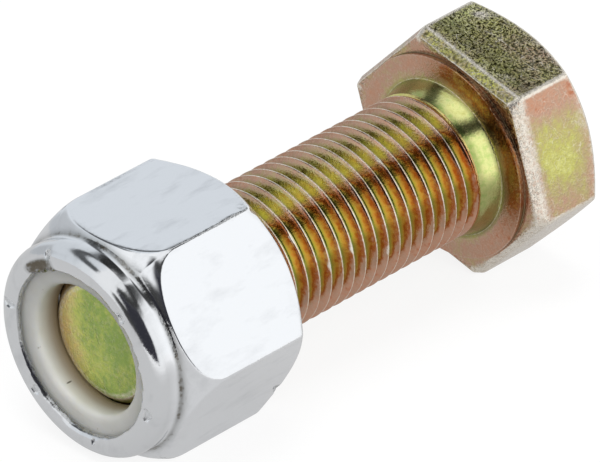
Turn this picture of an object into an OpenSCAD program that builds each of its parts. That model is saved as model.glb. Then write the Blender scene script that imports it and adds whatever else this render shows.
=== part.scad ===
// A hex bolt with a nylon-insert lock nut run on to its end.
// The shank lies along +X from the face under the head, and one flat of the nut faces down.

/* [Shank] */
// Length from the face under the head to the tip
bolt_l = 37.6; // [36.5:0.1:40]
// Diameter over the thread
thread_d = 12.7; // [11.5:0.05:13.5]
// Diameter of the plain neck under the head
neck_d = 12.8; // [11.5:0.05:14.5]
// Length of the plain neck, from the face under the head
neck_l = 2.4; // [1:0.1:5]
// Length of the run-out, where the thread fades into the neck
runout_l = 1; // [0.5:0.05:2]
// Depth of the run-out below the thread's diameter
runout_in = 0.35; // [0.1:0.05:0.7]
// Radius of the fillet between the neck and the head
fillet_r = 0.4; // [0.2:0.05:0.8]
// Diameter of the flat end of the tip
tip_d = 9.8; // [8:0.1:11]
// Length of the chamfer at the tip
tip_chamfer = 1.45; // [0.8:0.05:2.5]

/* [Head] */
// Width across the flats of the head
head_af = 18.9; // [18.5:0.05:20]
// Height of the head, with its washer face
head_h = 8.2; // [6:0.1:10]
// Width across the worn corners of the head
head_corners = 21.7; // [21:0.05:22]
// Roll of the head about the shank, against the nut's flats
head_roll = -14; // [-30:1:30]
// Diameter of the raised washer face
washer_d = 17.8; // [16:0.1:18]
// Height of the raised washer face
washer_t = 0.5; // [0.2:0.05:0.8]
// Diameter of the flat on top of the head, inside its chamfer
crown_d = 17.9; // [15:0.1:18.4]
// Slope of the chamfer on top of the head
crown_slope = 35; // [20:1:45]
// Width of the trimmed band along each flat, on the bearing side
trim_w = 1; // [0.6:0.05:2]
// Depth that the trimmed band falls away at its edge
trim_in = 0.4; // [0.1:0.05:0.5]

/* [Nut] */
// Distance from the face under the head to the nut, the clamped thickness
grip = 24.75; // [20:0.05:26]
// Width across the flats of the nut
nut_af = 19.05; // [18.7:0.05:20]
// Height of the nut, with its collar
nut_h = 15.4; // [14.8:0.05:17]
// Height from the bearing face to where the corners begin to round off
hex_h = 9.9; // [8.5:0.05:10.4]
// Radius of the rounding from the hex corners down to the collar
dome_r = 3.45; // [2.9:0.05:3.7]
// Width across the nut's corners
nut_corners = 21.9; // [21.3:0.05:22]
// Diameter of the bearing face
bearing_d = 18.1; // [16:0.1:18.6]
// Slope of the chamfer round the bearing face
bearing_slope = 39; // [20:1:45]
// Depth of the countersink at the mouth of the bore
countersink = 0.5; // [0.2:0.05:1]

/* [Collar] */
// Diameter of the collar at its foot
collar_d = 18.4; // [17.8:0.05:18.9]
// Diameter of the collar just under its rolled rim
rim_d = 17.9; // [17.5:0.05:18.4]
// Radius of the rolled rim
rim_r = 0.9; // [0.5:0.05:1.1]
// Diameter inside the rolled lip
lip_d = 14.3; // [13.8:0.05:15.2]
// Fall of the lip from the top of the rim to its inner edge
lip_fall = 0.3; // [0.1:0.05:0.5]
// Thickness of the lip at its inner edge
lip_t = 0.4; // [0.2:0.05:0.6]

/* [Insert] */
// Diameter of the pocket that holds the nylon ring
pocket_d = 16.1; // [15.6:0.05:16.8]
// Thickness of the nylon ring
insert_t = 3.1; // [2.4:0.05:3.6]
// How much smaller the ring's bore is than the thread, on the radius
insert_bite = 0.8; // [0.3:0.05:1.1]
// Radius of the soft edge at the front of the ring's bore
insert_edge = 0.8; // [0.4:0.05:1]

/* [Fits] */
// Radial gap between the thread and the nut's bore
thread_gap = 0.05; // [0.02:0.01:0.1]
// Gap round the nylon ring in its pocket
pocket_gap = 0.05; // [0.02:0.01:0.1]
// Gap between the tip and the nylon that it has formed
formed_gap = 0.1; // [0.05:0.01:0.2]

/* [Hidden] */
$fn = 96;
thread_r = thread_d / 2;
neck_r = neck_d / 2;
tip_r = tip_d / 2;
washer_r = washer_d / 2;
// Hex body of the head, from the back of the washer face to the crown
head_hex_h = head_h - washer_t;
trim_angle = atan(trim_in / trim_w);
// Cutting blocks run this far past what they cut
spare = 1;
// Nut section, as heights above its bearing face
bore_r = thread_r + thread_gap;
dome_centre_r = nut_corners / 2 - dome_r;
dome_end = acos((collar_d / 2 - dome_centre_r) / dome_r);
lip_under = nut_h - lip_fall - lip_t;
pocket_floor = lip_under - insert_t - 2 * pocket_gap;
insert_back = pocket_floor + pocket_gap;
insert_front = insert_back + insert_t;
insert_bore_r = thread_r - insert_bite;
ARC_STEPS = 8;

// Points of an arc in a section, as [radius, height]; 0 degrees points away from the axis
function arc(centre_r, centre_h, r, from, to) =
    [for (i = [0:ARC_STEPS])
        let (a = from + (to - from) * i / ARC_STEPS)
            [centre_r + r * cos(a), centre_h + r * sin(a)]];

// Turns a section of [radius, height] points about the shank, with heights along +X
module turned(section) {
    rotate([0, 90, 0])
        rotate_extrude()
            polygon(section);
}

// Hex bar along +X with a flat facing down
module hex_bar(af, length) {
    rotate([0, 90, 0])
        linear_extrude(length)
            rotate(30)
                circle(d = af / cos(30), $fn = 6);
}

// Chamfered disc that takes the corners off the top of the head
module crown_envelope() {
    corner_r = head_corners / 2;
    crown_r = crown_d / 2;
    drop = (corner_r - crown_r) * tan(crown_slope);
    translate([-head_h, 0, 0])
        turned([
            [0, 0],
            [crown_r, 0],
            [corner_r, drop],
            [corner_r, head_hex_h],
            [0, head_hex_h],
        ]);
}

// Slanted block that leaves the trimmed band along one flat
module trim_cut() {
    translate([-washer_t - trim_w, -head_af, head_af / 2])
        rotate([0, trim_angle, 0])
            cube([trim_w + spare, 2 * head_af, head_af / 2]);
}

module head_hex() {
    difference() {
        intersection() {
            translate([-head_h, 0, 0])
                hex_bar(head_af, head_hex_h);
            crown_envelope();
        }
        for (side = [0:5])
            rotate([60 * side, 0, 0])
                trim_cut();
    }
}

// Washer face, fillet, neck, run-out, thread and tip, turned as one section
module shank() {
    turned(concat(
        [[0, -washer_t - trim_w], [washer_r, -washer_t - trim_w], [washer_r, 0]],
        arc(neck_r + fillet_r, fillet_r, fillet_r, 270, 180),
        [
            [neck_r, neck_l],
            [thread_r - runout_in, neck_l + runout_l / 2],
            [thread_r, neck_l + runout_l],
            [thread_r, bolt_l - tip_chamfer],
            [tip_r, bolt_l],
            [0, bolt_l],
        ]
    ));
}

module bolt() {
    color("#b59a3c")
        union() {
            rotate([head_roll, 0, 0])
                head_hex();
            shank();
        }
}

// Whole section of the nut: bearing chamfer, corners, dome, collar, rolled lip, pocket and bore
module nut_section() {
    corner_r = nut_corners / 2;
    chamfer_h = (corner_r - bearing_d / 2) * tan(bearing_slope);
    turned(concat(
        [[bore_r + countersink, 0], [bearing_d / 2, 0], [corner_r, chamfer_h]],
        arc(dome_centre_r, hex_h, dome_r, 0, dome_end),
        arc(rim_d / 2 - rim_r, nut_h - rim_r, rim_r, 0, 90),
        [
            [lip_d / 2, nut_h - lip_fall],
            [lip_d / 2, lip_under],
            [pocket_d / 2, lip_under],
            [pocket_d / 2, pocket_floor],
            [bore_r, pocket_floor],
            [bore_r, countersink],
        ]
    ));
}

module lock_nut() {
    color("#d5d9de")
        translate([grip, 0, 0])
            intersection() {
                hex_bar(nut_af, nut_h);
                nut_section();
            }
}

// Space that the tip has pressed into the nylon
module tip_space() {
    turned([
        [0, 0],
        [thread_r + formed_gap, 0],
        [thread_r + formed_gap, bolt_l - tip_chamfer],
        [tip_r + formed_gap, bolt_l],
        [0, bolt_l + formed_gap],
    ]);
}

module nylon_insert() {
    color("#d8d6cc")
        difference() {
            translate([grip, 0, 0])
                turned(concat(
                    [
                        [insert_bore_r, insert_back],
                        [pocket_d / 2 - pocket_gap, insert_back],
                        [pocket_d / 2 - pocket_gap, insert_front],
                    ],
                    arc(insert_bore_r + insert_edge, insert_front - insert_edge, insert_edge, 90, 180)
                ));
            tip_space();
        }
}

bolt();
lock_nut();
nylon_insert();
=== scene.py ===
# %% [markdown]
# A short hex bolt, plated yellow, with a bright lock nut run on to its end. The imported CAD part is
# loaded first as a fixed frame, and each solid is then dressed with a finer skin of its own: the real
# thread, the rounded edges and the small marks that a plain solid leaves out.

import math

import bpy
import numpy as np
from mathutils import Matrix, Vector


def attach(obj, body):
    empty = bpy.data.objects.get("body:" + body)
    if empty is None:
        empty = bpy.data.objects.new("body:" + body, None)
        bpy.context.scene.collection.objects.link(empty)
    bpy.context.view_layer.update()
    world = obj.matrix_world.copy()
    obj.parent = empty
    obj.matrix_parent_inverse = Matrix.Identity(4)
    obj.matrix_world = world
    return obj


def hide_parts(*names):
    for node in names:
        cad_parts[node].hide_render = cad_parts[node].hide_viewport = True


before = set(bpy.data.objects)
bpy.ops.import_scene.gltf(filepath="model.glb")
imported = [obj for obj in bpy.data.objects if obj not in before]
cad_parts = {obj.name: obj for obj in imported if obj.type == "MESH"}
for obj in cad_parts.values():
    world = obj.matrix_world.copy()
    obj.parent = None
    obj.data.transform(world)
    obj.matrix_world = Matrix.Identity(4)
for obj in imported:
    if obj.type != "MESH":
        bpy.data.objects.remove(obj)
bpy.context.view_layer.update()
MM = 0.001

# %% [markdown]
# The camera comes early, because everything is judged through it. The photograph was taken with a long
# lens from well above the tip's side, and the camera leans a little, so a plain look-at is not enough.
# The three directions of the camera are written out and made into a matrix.

# %% Camera
CAMERA_PLACE = Vector((384.69, 392.168, 333.086)) * MM
CAMERA_RIGHT = Vector((-0.71398, 0.69938, -0.03303))
CAMERA_UP = Vector((-0.38826, -0.35622, 0.84992))

lens = bpy.data.cameras.new("photo_lens")
lens.sensor_fit = "HORIZONTAL"
lens.sensor_width = 36
lens.lens = 478.5
camera = bpy.data.objects.new("photo_camera", lens)
bpy.context.scene.collection.objects.link(camera)
camera_back = CAMERA_RIGHT.cross(CAMERA_UP)
camera.matrix_world = Matrix.Translation(CAMERA_PLACE) @ Matrix(
    (CAMERA_RIGHT, CAMERA_UP, camera_back)
).transposed().to_4x4()
bpy.context.scene.camera = camera
bpy.context.scene.view_settings.view_transform = "Standard"
print("camera", round((CAMERA_PLACE.length) / MM), "mm from the origin, lens", lens.lens)

# %% [markdown]
# Every piece here is round or six-sided about one axis, so each is built as a loft: half-sections stand
# side by side round the shank like the staves of a barrel, and the skin is stretched between them. A
# screw modifier could spin one section, but then the hex would need a boolean, which leaves ragged
# faces. With one half-section for each angle, the hex, the round collar and the thread are one clean skin.

# %% Angles of the half-sections
COS30 = math.cos(math.radians(30))
STAVE_STEPS = [2, 4, 7, 10.5, 14, 18, 22, 26, 30]
STAVE_GAP = 0.25


def fade(value):
    """Smooth step from 0 to 1."""
    held = np.clip(value, 0, 1)
    return held * held * (3 - 2 * held)


def turn_between(angle, other):
    """Turn from one angle to another in degrees, the short way round."""
    return (angle - other + 180) % 360 - 180


def from_ridge(angles, ridge):
    """How far each angle is from the nearest ridge of a hex, in degrees."""
    return np.abs((angles - ridge + 30) % 60 - 30)


def ridge_touch(flat, corner):
    """Angle, from a ridge, at which its rounding meets the flat."""
    middle = (flat - corner) / COS30
    return math.degrees(math.atan2(corner / 2, middle + corner * COS30))


def stave_angles(ridge, flat, corner, extra=()):
    """Angles in degrees about the shank: close together at each ridge, wider over the flats."""
    touch = ridge_touch(flat, corner)
    steps = [0, touch / 3, 2 * touch / 3, touch, *STAVE_STEPS]
    turns = [60 * k + step * side for k in range(6) for step in steps for side in (1, -1)]
    kept = sorted({round((ridge + turn) % 360, 4) for turn in turns})
    for angle in extra:
        if min(abs(turn_between(angle, a)) for a in kept) > STAVE_GAP:
            kept.append(angle % 360)
    return np.array(sorted(kept))


def hex_radius(angles, ridge, flat, corner):
    """Radius of a hex bar at each angle, with its ridges rounded."""
    off = np.radians(from_ridge(angles, ridge))
    middle = (flat - corner) / COS30
    rounded = middle * np.cos(off) + np.sqrt(np.maximum(corner**2 - (middle * np.sin(off)) ** 2, 0))
    straight = flat / np.cos(math.radians(30) - off)
    return np.where(off <= math.radians(ridge_touch(flat, corner)), rounded, straight)


print("staves round a sharp hex:", len(stave_angles(0, 9.5, 0.3)))

# %% [markdown]
# No edge on forged or rolled steel is razor sharp, and it is the small roundings that catch the light.
# A bevel modifier would treat all edges alike, so each corner of a half-section carries its own reach:
# how far from the corner the rounding begins. A corner also says how worn it is and to which zone of
# the piece it belongs, which the materials read later.

# %% Rounded corners
EASE_PARTS = 4
MOST_REACH = 0.48


def toward(start, end, reach):
    """Point on the way from start to end, reach away but never past the middle."""
    gap = np.maximum(np.hypot(*(end - start)), 1e-9)
    return start + (end - start) * np.minimum(reach / gap, MOST_REACH)


def eased(corners, count, loop=False):
    """Rows of a half-section from corners (x, r, reach, worn, zone), with each corner rounded."""
    points = [np.array([np.broadcast_to(v, count) for v in corner[:2]], float) for corner in corners]
    rows = []
    for i, (_, _, reach, worn, zone) in enumerate(corners):
        here = points[i]
        last = i == len(corners) - 1
        if not np.any(reach) or (not loop and (i == 0 or last)):
            rows.append((here[0], here[1], np.full(count, float(worn)), zone))
            continue
        first = toward(here, points[i - 1], reach)
        second = toward(here, points[0 if last else i + 1], reach)
        for t in np.linspace(0, 1, EASE_PARTS + 1):
            bend = (1 - t) ** 2 * first + 2 * t * (1 - t) * here + t**2 * second
            rub = worn * (1 - 0.6 * abs(2 * t - 1))
            rows.append((bend[0], bend[1], np.full(count, rub), zone))
    return rows


print("rows in one rounding:", EASE_PARTS + 1)

# %% [markdown]
# A thread is a helix, so its rows climb as they go round. Each row is shifted along the shank by the
# pitch times the turn, and where the last stave meets the first, a row joins the one a whole turn
# further on. At both ends the rows are held back to a flat limit, where they gather into one ring.
# This gives a true single-start right-hand thread without a boolean.

# %% Thread rows
PITCH = 1.27
THREAD_R = 6.35
THREAD_START = 0.71
THREAD_FORM = [
    (0.0, 0.0), (0.045, 0.005), (0.075, 0.034), (0.115, 0.102), (0.17, 0.222),
    (0.27, 0.454), (0.36, 0.652), (0.42, 0.744), (0.46, 0.776), (0.5, 0.785),
]
FORM_STOPS = [stop for stop, _ in THREAD_FORM]
THREAD_STOPS = FORM_STOPS + [1 - stop for stop in FORM_STOPS[-2:0:-1]]


def thread_turn(x, angles):
    """Where a point lies in the thread: 0 on a crest, up to 0.5 on either side of it."""
    return (x / PITCH - angles / 360 - THREAD_START + 0.5) % 1 - 0.5


def thread_radius(x, angles):
    """Radius of the bolt's thread at a place along and round the shank."""
    depths = [depth for _, depth in THREAD_FORM]
    return THREAD_R - np.interp(np.abs(thread_turn(x, angles)), FORM_STOPS, depths)


def helix_rows(start, end, angles):
    """Places along the shank of each thread row, one array per row, held between start and end."""
    first = math.floor(start / PITCH) - 2
    turns = math.ceil((end - start) / PITCH) + 4
    rows = []
    for turn in range(turns):
        for stop in THREAD_STOPS:
            climb = (first + turn + stop + THREAD_START + angles / 360) * PITCH
            rows.append(np.clip(climb, start, end))
    return rows


print("rows in one turn of the thread:", len(THREAD_STOPS))

# %% [markdown]
# The skin itself: points that fall together share one vertex, so the ends of the thread and the middle
# of a flat end close up without stray faces. The numbers that the finish needs at each point, such as
# how worn it is, are stored as attributes of the mesh, and the shader reads them by name. A weighted
# normal keeps the wide faces flat, so that only the roundings bend the light.

# %% Stretch a skin over the rows


def number_points(rows, angles):
    """Vertex places, and the number of the vertex at each row and stave."""
    turn = np.radians(angles)
    places, owner = [], []
    grid = np.zeros((len(rows), len(angles)), int)
    for i, (x, r, _, _) in enumerate(rows):
        for j in range(len(angles)):
            if i and abs(x[j] - rows[i - 1][0][j]) + abs(r[j] - rows[i - 1][1][j]) < 1e-7:
                grid[i, j] = grid[i - 1, j]
            elif j and r[j] < 1e-6:
                grid[i, j] = grid[i, 0]
            else:
                grid[i, j] = len(places)
                y, z = r[j] * math.cos(turn[j]), r[j] * math.sin(turn[j])
                places.append((x[j] * MM, y * MM, z * MM))
                owner.append((i, j))
    return places, owner, grid


def skin_faces(grid, seam, loop):
    """Faces between neighbouring staves; seam gives the row that each row meets after a whole turn."""
    faces = []
    count, staves = grid.shape
    for i in range(count if loop else count - 1):
        below = (i + 1) % count
        for j in range(staves):
            if j + 1 < staves:
                corners = (grid[i, j], grid[i, j + 1], grid[below, j + 1], grid[below, j])
            else:
                corners = (grid[i, j], grid[seam[i], 0], grid[seam[below], 0], grid[below, j])
            face = [v for k, v in enumerate(corners) if v != corners[k - 1]]
            if len(face) > 2:
                faces.append([int(v) for v in face])
    return faces


def skin(name, rows, angles, seam=None, loop=False):
    """Object made of rows; returns it with the row and stave that each vertex came from."""
    places, owner, grid = number_points(rows, angles)
    faces = skin_faces(grid, seam if seam is not None else np.arange(len(rows)), loop)
    mesh = bpy.data.meshes.new(name)
    mesh.from_pydata(places, [], faces)
    mesh.validate()
    mesh.shade_smooth()
    piece = bpy.data.objects.new(name, mesh)
    bpy.context.scene.collection.objects.link(piece)
    flatten = piece.modifiers.new("flat faces stay flat", "WEIGHTED_NORMAL")
    flatten.weight = 80
    print(name, len(mesh.vertices), "points,", sum(len(f) - 2 for f in faces), "triangles")
    return piece, np.array(owner)


def note(piece, owner, name, values):
    """Stores one number per vertex from an array of rows by staves."""
    layer = piece.data.attributes.new(name, "FLOAT", "POINT")
    layer.data.foreach_set("value", values[owner[:, 0], owner[:, 1]].astype(np.float32))


# %% [markdown]
# The bolt, first its head. It is cold-headed and then trimmed to a hex, which leaves a slanted, torn
# band along each flat on the bearing side, and a round washer face under it. The crown is chamfered,
# so each flat ends in a low arch. All of it is one list of corners, from the middle of the crown out
# and round to the neck. The right-hand flat was trimmed a little less than the others.

# %% Head corners
HEAD_ROLL = -14.1
HEAD_FLAT = 9.45
HEAD_CORNER = 0.4
HEAD_TOP = -8.2
CROWN_R = 8.95
CROWN_SLOPE = math.tan(math.radians(35))
TRIM_START, TRIM_END, TRIM_IN = -1.5, -0.5, 0.4
WASHER_R = 8.9
NECK_R = 6.4
NECK_END = 1.95
LIGHT_TRIM_OUT, LIGHT_TRIM_LATER = 0.18, 0.27

bolt_angles = stave_angles(HEAD_ROLL, HEAD_FLAT, HEAD_CORNER)
bolt_count = len(bolt_angles)
head_r = hex_radius(bolt_angles, HEAD_ROLL, HEAD_FLAT, HEAD_CORNER)
trim_r = hex_radius(bolt_angles, HEAD_ROLL, HEAD_FLAT - TRIM_IN, HEAD_CORNER)
light_trim = fade((30 - np.abs(turn_between(bolt_angles, HEAD_ROLL + 30))) / 4)
trim_r = trim_r + LIGHT_TRIM_OUT * light_trim
trim_from = TRIM_START + LIGHT_TRIM_LATER * light_trim
arch = HEAD_TOP + (head_r - CROWN_R) * CROWN_SLOPE


def along_flat(share):
    """Corner on the flats, from the arch at the crown (0) to the trimmed band (1)."""
    return (arch + (trim_from - arch) * share, head_r, 0, 0.0, "flat")


def on_ledge(share):
    """Corner on the ledge under the hex, from the washer face (0) to the trimmed band (1)."""
    return (TRIM_END, WASHER_R + (trim_r - WASHER_R) * share, 0, 0.0, "ledge")


def on_neck_flare(x, out):
    """Corner on the neck, which flares out towards the head."""
    return (x, NECK_R + out, 0, 0.0, "neck")


head_corners = [
    (HEAD_TOP, 0.0, 0, 0.0, "crown"),
    (HEAD_TOP, 2.5, 0, 0.0, "crown"),
    (HEAD_TOP, 5.0, 0, 0.0, "crown"),
    (HEAD_TOP, 7.4, 0, 0.0, "crown"),
    (HEAD_TOP, CROWN_R, 0.3, 0.8, "crown"),
    (arch, head_r, 0.2, 1.0, "flat"),
    along_flat(0.2), along_flat(0.4), along_flat(0.6), along_flat(0.8),
    (trim_from, head_r, 0.2, 0.9, "trim"),
    ((trim_from + TRIM_END) / 2, (head_r + trim_r) / 2, 0, 0.1, "trim"),
    (TRIM_END, trim_r, 0.1, 0.8, "trim"),
    on_ledge(0.4), on_ledge(0.15),
    (TRIM_END, WASHER_R, 0.06, 0.0, "groove"),
    (0.0, WASHER_R, 0.1, 0.35, "bearing"),
    (0.0, 8.4, 0, 0.0, "bearing"),
    (0.0, 7.8, 0, 0.0, "bearing"),
    (0.0, 7.2, 0, 0.0, "bearing"),
    (0.0, NECK_R + 0.42, 0.1, 0.42, "fillet"),
    on_neck_flare(0.15, 0.37), on_neck_flare(0.45, 0.27), on_neck_flare(0.75, 0.18),
    on_neck_flare(1.05, 0.11), on_neck_flare(1.35, 0.045), on_neck_flare(1.65, -0.01),
    on_neck_flare(NECK_END, -0.06),
]
head_rows = eased(head_corners, bolt_count)
print("head rows:", len(head_rows))

# %% [markdown]
# Behind the neck the thread fades in over a turn, because the rolling dies cannot reach the shoulder,
# and at the tip a chamfer cuts it off so that the nut starts easily. Both are done on the radius: a
# blend at one end, and the smaller of thread and cone at the other. The crests are rubbed pale, a
# little less underneath, and a few have been knocked flat. A knock is given by its angle and by the
# number of the turn that it sits on, so that it always lands on the crest.

# %% Shank rows
RUNOUT = 0.8
TIP_X = 37.6
TIP_R = 4.9
THREAD_END = 36.95
CREST_HALF = 0.095
CREST_WORN, CREST_WORN_BELOW = 0.84, 0.64
KNOCKED_CRESTS = [(12.9, 12), (355.2, 8), (8.5, 14), (59.9, 7), (40, 16), (140, 11)]
KNOCK_WIDE, KNOCK_LONG = 4, 0.16
KNOCK_DEEP = 0.12


def knocks_on(x):
    """How far each point of a thread row is knocked, from 0 to 1."""
    knock = np.zeros(bolt_count)
    for angle, number in KNOCKED_CRESTS:
        aside = turn_between(bolt_angles, angle) / KNOCK_WIDE
        along = (x - (number + bolt_angles / 360 + THREAD_START) * PITCH) / KNOCK_LONG
        knock = np.maximum(knock, np.exp(-(aside**2) - along**2))
    return knock


def shank_row(x):
    """Thread row with its run-out at the neck and its chamfer at the tip."""
    grown = fade((x - NECK_END) / RUNOUT)
    neck = NECK_R - 0.06
    r = neck + (thread_radius(x, bolt_angles) - neck) * grown
    r = np.minimum(r, TIP_R + TIP_X - x)
    crest = fade(1 - np.abs(thread_turn(x, bolt_angles)) / CREST_HALF)
    below = fade((175 - np.abs(bolt_angles - 265)) / 90)
    rubbed = (CREST_WORN + (CREST_WORN_BELOW - CREST_WORN) * below) * crest * grown
    knock = knocks_on(x)
    return (x, r - KNOCK_DEEP * knock * crest, np.maximum(rubbed, 1.3 * knock), "thread")


shank_rows = [shank_row(x) for x in helix_rows(NECK_END, THREAD_END, bolt_angles)]
tip_corners = [
    (THREAD_END, TIP_R + TIP_X - THREAD_END, 0, 0.0, "tip"),
    (TIP_X, TIP_R, 0.25, 1.0, "tip"),
    (TIP_X, 4.55, 0, 0.45, "tip"),
    (TIP_X, 4.2, 0, 0.1, "tip"),
    (TIP_X, 3.2, 0, 0.0, "tip"),
    (TIP_X, 2.1, 0, 0.0, "tip"),
    (TIP_X, 1.0, 0, 0.0, "tip"),
    (TIP_X, 0.0, 0, 0.0, "tip"),
]
tip_rows = eased(tip_corners, bolt_count)
bolt_rows = head_rows + shank_rows + tip_rows

bolt_seam = np.arange(len(bolt_rows))
thread_first, thread_last = len(head_rows), len(head_rows) + len(shank_rows) - 1
bolt_seam[thread_first : thread_last + 1] = np.minimum(
    bolt_seam[thread_first : thread_last + 1] + len(THREAD_STOPS), thread_last
)
bolt, bolt_owner = skin("hex_bolt", bolt_rows, bolt_angles, bolt_seam)

# %% [markdown]
# Yellow zinc plating is a clear film whose thickness sets its colour, like oil on water: green, gold,
# orange, rose and back to green. The film is not even, so a number for it is stored at each point and
# the shader turns it into a colour. Two more numbers go with it: grain, for the torn skin that the dies
# leave, and painted shade, a dark olive laid into roots, corners and dim places. A picture could be
# wrapped round the bolt instead, but numbers on the points belong to the bolt and stay sharp from every
# side.

# %% Numbers at each point of the bolt
bolt_x, bolt_r, bolt_wear_and_reflection = (np.array([row[k] for row in bolt_rows]) for k in range(3))
bolt_zone = np.array([[row[3]] * bolt_count for row in bolt_rows])
bolt_turn = np.broadcast_to(bolt_angles, bolt_x.shape)
bolt_y = bolt_r * np.cos(np.radians(bolt_turn))
around = (bolt_turn + 90) % 360 - 90
film = np.full(bolt_x.shape, 0.6)
grain = np.full(bolt_x.shape, 0.25)
painted_shade = np.zeros(bolt_x.shape)
print("zones of the bolt:", sorted(set(bolt_zone[:, 0])))

# %% [markdown]
# The six flats of the head hung differently in the bath, so each has its own film and grain. The
# right-hand flat is the smoothest: lime in the middle and rose at both ends. The upper one is dark and
# torn, and painted shade darkens it further towards the trimmed band and in one band across it, where
# its grain is finer.

# %% Film on the head
FLAT_FILM = np.array([0.30, 0.80, 0.55, 0.30, 0.70, 0.60])
FLAT_GRAIN = np.array([0.22, 1.0, 0.7, 0.8, 0.6, 0.4])
STREAK_X, STREAK_HALF = -2.3, 0.5

flat_number = ((bolt_turn - HEAD_ROLL) // 60 % 6).astype(int)
across = ((bolt_turn - HEAD_ROLL) % 60 - 30) / 30
on_flat = np.isin(bolt_zone, ["flat", "trim"])
film[on_flat] = FLAT_FILM[flat_number][on_flat]
grain[on_flat] = FLAT_GRAIN[flat_number][on_flat]

right_flat = on_flat & (flat_number == 0)
rose_ends = 0.21 * fade((across - 0.3) / 0.5) + 0.11 * fade((-across - 0.3) / 0.5)
rose_sides = 0.13 * fade((-bolt_x - 5.8) / 2.0) + 0.14 * fade((bolt_x + 2.6) / 0.8)
film[right_flat] = (0.775 - rose_ends - rose_sides)[right_flat]

on_trim = bolt_zone == "trim"
top_flat = (bolt_zone == "flat") & (flat_number == 1)
film[top_flat] = (0.79 + 0.06 * across - 0.05 * fade((-bolt_x - 4.0) / 3.0))[top_flat]
streak = np.exp(-(((bolt_x - STREAK_X) / STREAK_HALF) ** 2))
# painted shade on the upper flat: darker towards the trim and in one band across it
painted_shade[top_flat] = (0.3 * fade((bolt_x + 5.2) / 1.5) + 0.32 * streak)[top_flat]
grain[top_flat] -= 0.35 * streak[top_flat]

film[on_trim], grain[on_trim] = 0.6, 0.8
top_trim = on_trim & (flat_number == 1)
film[top_trim], grain[top_trim] = 0.77, 0.95
right_trim = on_trim & (flat_number == 0)
grain[right_trim] = 0.45
on_crown = bolt_zone == "crown"
film[on_crown] = (0.76 - 0.13 * fade(bolt_r / 9.0))[on_crown]
print("film on the head from", round(float(film.min()), 2), "to", round(float(film.max()), 2))

# %% [markdown]
# Under the head the film runs from rose at the rim to lime at the neck. Painted shade darkens the
# crease round the washer face, the fillet, the bearing face on its side towards the camera, and both
# edges and the sides of the neck.

# %% Film under the head
from_neck = np.clip((bolt_r - NECK_R) / (WASHER_R - NECK_R), 0, 1)
toward_camera = fade((80 - np.abs(turn_between(bolt_turn, 35))) / 45)
before_back = fade((250 - around) / 40)

under = np.isin(bolt_zone, ["bearing", "fillet"])
film[under] = (0.58 - 0.145 * toward_camera + (0.24 + 0.135 * toward_camera) * fade(1 - from_neck / 0.5))[under]
# painted shade on the bearing face towards the camera, in the crease round the washer face and in the
# fillet
painted_shade[under] = (0.45 * toward_camera * fade(from_neck / 0.12))[under]
painted_shade[bolt_zone == "groove"] = 0.6
on_fillet = bolt_zone == "fillet"
film[on_fillet] = 0.74
fillet_shade = 0.45 * fade((30 - around) / 20) + 0.25 * fade((around - 60) / 40) * before_back
painted_shade[on_fillet] = fillet_shade[on_fillet]

on_neck = bolt_zone == "neck"
film[on_neck] = (0.9 + 0.04 * fade((bolt_x - 1.2) / 0.6))[on_neck]
grain[on_neck] = 0.04
# painted shade on both edges and the sides of the neck
neck_side_shade = 0.52 * (fade((14 - around) / 15) + fade((around - 80) / 18) * before_back)
neck_edge_shade = 0.55 * fade((0.3 - bolt_x) / 0.2) + 0.42 * fade((bolt_x - 1.1) / 0.75)
painted_shade[on_neck] = np.maximum(neck_side_shade, neck_edge_shade)[on_neck]
print("most residue under the head:", round(float(painted_shade.max()), 2))

# %% [markdown]
# On the thread the film grows thinner from crest to root, and that is what gives each groove its
# stripes: rose or red-brown by the crest, then orange, yellow and olive. How far the rose reaches
# changes round the bolt, so it is read off a short list of angles. On the upper side the film grows
# thicker instead, from rose straight to olive. These stripes and their change round the bolt are partly
# the film's own colour and partly painted sheen, the shift of colour that the film shows with the angle
# of view. A list of stops is easy to tune against a photograph, where a formula for the real bath would
# not be.

# %% Film on the thread
ROSE_END = [(-30, 0.33), (-8, 0.18), (8, -0.05), (45, -0.05), (66, 0.05), (85, 0.12), (105, 0.2)]
OLIVE_FROM = [(-30, 0.46), (-8, 0.43), (8, 0.53), (45, 0.53)]
FRONT_FILM_AND_SHEEN = [
    (0, 0.55), (0.08, 0.46), (0.48, 0.445), (0.58, 0.39), (0.66, 0.31), (0.73, 0.2), (0.8, 0.1), (1, 0.04),
]
UPPER_FILM_AND_SHEEN = [(-0.12, 0.58), (0, 0.62), (0.1, 0.7), (0.2, 0.8)]
FAR_FLANK_FILM = [(-0.5, 0.16), (-0.4, 0.2), (-0.3, 0.21), (-0.06, 0.25), (0, 0.47)]


def read_off(stops, value, period=None):
    """Value on a line drawn through stops, each a place and the value there."""
    places, values = zip(*stops)
    return np.interp(value, places, values, period=period)


turn = thread_turn(bolt_x, bolt_turn)
# painted sheen: the film number here changes with the angle round the bolt
upper_side = fade((around - 52) / 14) * before_back
rose_end = read_off(ROSE_END, bolt_turn, 360)
past_rose = turn - rose_end
front_film_and_sheen = read_off(FRONT_FILM_AND_SHEEN, past_rose / (read_off(OLIVE_FROM, bolt_turn, 360) - rose_end))
near_flank_film_and_sheen = front_film_and_sheen + (read_off(UPPER_FILM_AND_SHEEN, past_rose) - front_film_and_sheen) * upper_side
on_thread = bolt_zone == "thread"
film[on_thread] = np.where(turn < 0, read_off(FAR_FLANK_FILM, turn), near_flank_film_and_sheen)[on_thread]
grain[on_thread] = (0.1 + 0.08 * upper_side)[on_thread]
print("points on the thread:", int(on_thread.sum()))
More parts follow.
